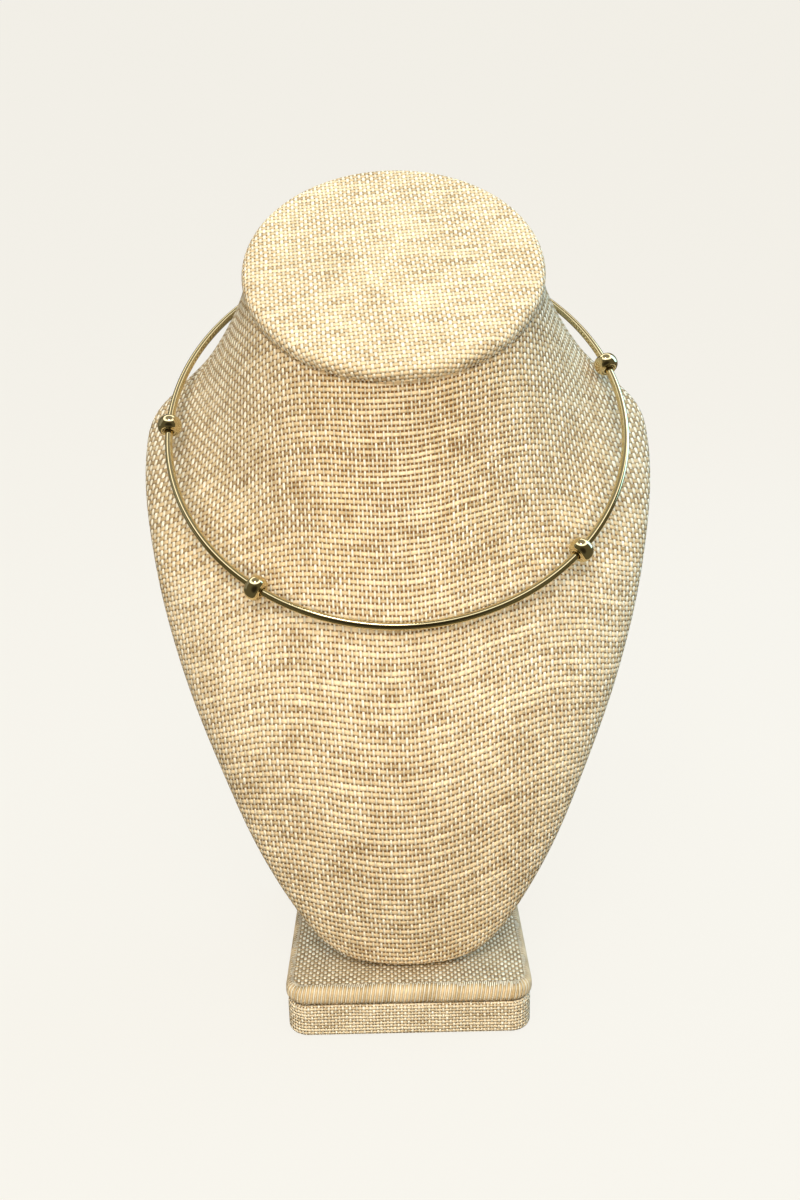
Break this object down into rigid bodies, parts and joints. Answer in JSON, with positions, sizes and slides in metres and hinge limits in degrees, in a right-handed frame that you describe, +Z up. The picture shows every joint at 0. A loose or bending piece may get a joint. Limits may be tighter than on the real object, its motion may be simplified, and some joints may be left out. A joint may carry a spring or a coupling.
{
  "type": "collar choker necklace on a neck bust",
  "caption": "Rigid gold wire collar with rondelle beads, shown on a burlap-covered neck bust that stands on a two-board base.",
  "frame": {"origin": "centre of the underside of the base", "axes": "+X to the viewer's right, +Y to the back of the bust, +Z up"},
  "size_m": [0.154, 0.1054, 0.2365],
  "materials": {
    "gold": "mirror-polished pale gold plating",
    "burlap": "natural plain-weave burlap, about 1.3 mm thread pitch"
  },
  "bodies": {
    "root": {"collar_wire": "gold", "collar_clasp": "gold", "bead_left_side": "gold", "bead_left_front": "gold", "bead_right_front": "gold", "bead_right_side": "gold", "bust_form": "burlap", "neck_cap": "burlap", "support_post": "burlap", "base_top_slab": "burlap", "base_lower_slab": "burlap"}
  },
  "joints": []
}
